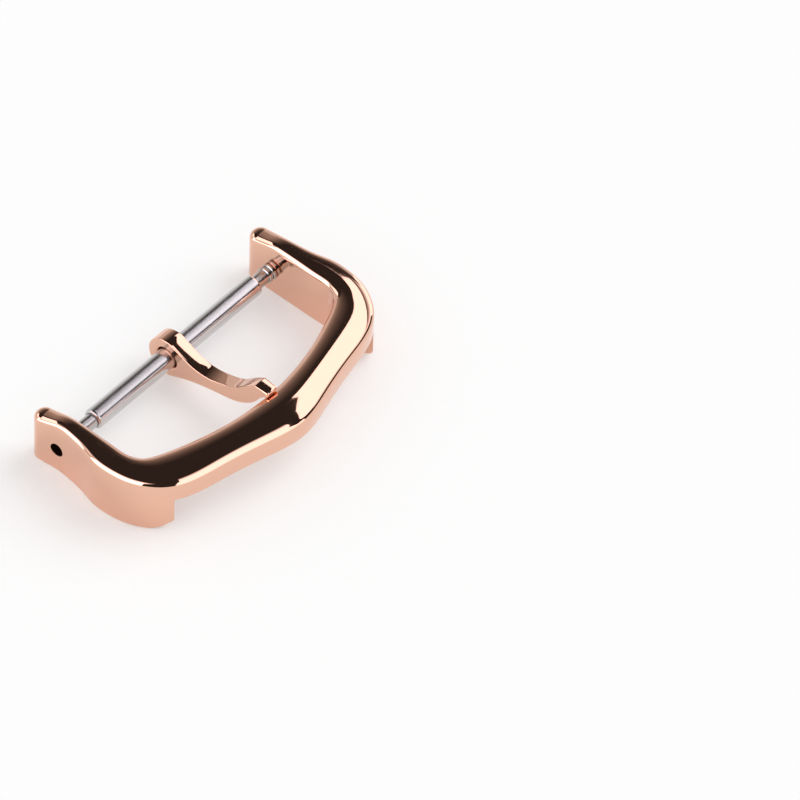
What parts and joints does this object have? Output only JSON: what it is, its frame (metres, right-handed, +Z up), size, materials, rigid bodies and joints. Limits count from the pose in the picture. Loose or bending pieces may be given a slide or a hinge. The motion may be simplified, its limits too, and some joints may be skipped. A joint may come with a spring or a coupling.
{
  "type": "watch strap tang buckle",
  "caption": "Tang buckle for a watch strap: a cast U-shaped frame, a tongue that swings on a sprung bar, and the bar itself, whose tips retract to let the strap go.",
  "frame": {"origin": "on the spring bar's axis, midway between the two arms", "axes": "+X along the spring bar, +Y from the bar to the front of the frame, +Z up, away from the wrist"},
  "size_m": [0.0242, 0.014, 0.005],
  "materials": {
    "polished_rose_gold_plate": "mirror-polished steel with rose gold plating",
    "polished_stainless_steel": "drawn tube, polished",
    "turned_stainless_steel": "turned on a lathe, bright",
    "spring_steel": "drawn wire"
  },
  "bodies": {
    "frame": {"frame": "polished_rose_gold_plate"},
    "tongue": {"tongue": "polished_rose_gold_plate"},
    "bar_tube": {"spring_bar_tube": "polished_stainless_steel", "spring_bar_spring": "spring_steel"},
    "bar_pin_right": {"spring_bar_pin_right": "turned_stainless_steel"},
    "bar_pin_left": {"spring_bar_pin_left": "turned_stainless_steel"}
  },
  "joints": [
    {"name": "tongue_swing", "type": "hinge", "parent": "frame", "child": "tongue", "pos_m": [0, 0, 0], "axis": [1, 0, 0], "range_deg": [0, 330]},
    {"name": "bar_spin", "type": "hinge", "parent": "frame", "child": "bar_tube", "pos_m": [0, 0, 0], "axis": [1, 0, 0], "continuous": true},
    {"name": "pin_right_press", "type": "slide", "parent": "bar_tube", "child": "bar_pin_right", "axis": [-1, 0, 0], "range_m": [0, 0.00088], "stiffness_N_per_m": 400, "springref_m": -0.0015, "deforming": ["spring_bar_spring"]},
    {"name": "pin_left_press", "type": "slide", "parent": "bar_tube", "child": "bar_pin_left", "axis": [1, 0, 0], "range_m": [0, 0.00088], "stiffness_N_per_m": 400, "springref_m": -0.0015, "deforming": ["spring_bar_spring"]}
  ]
}
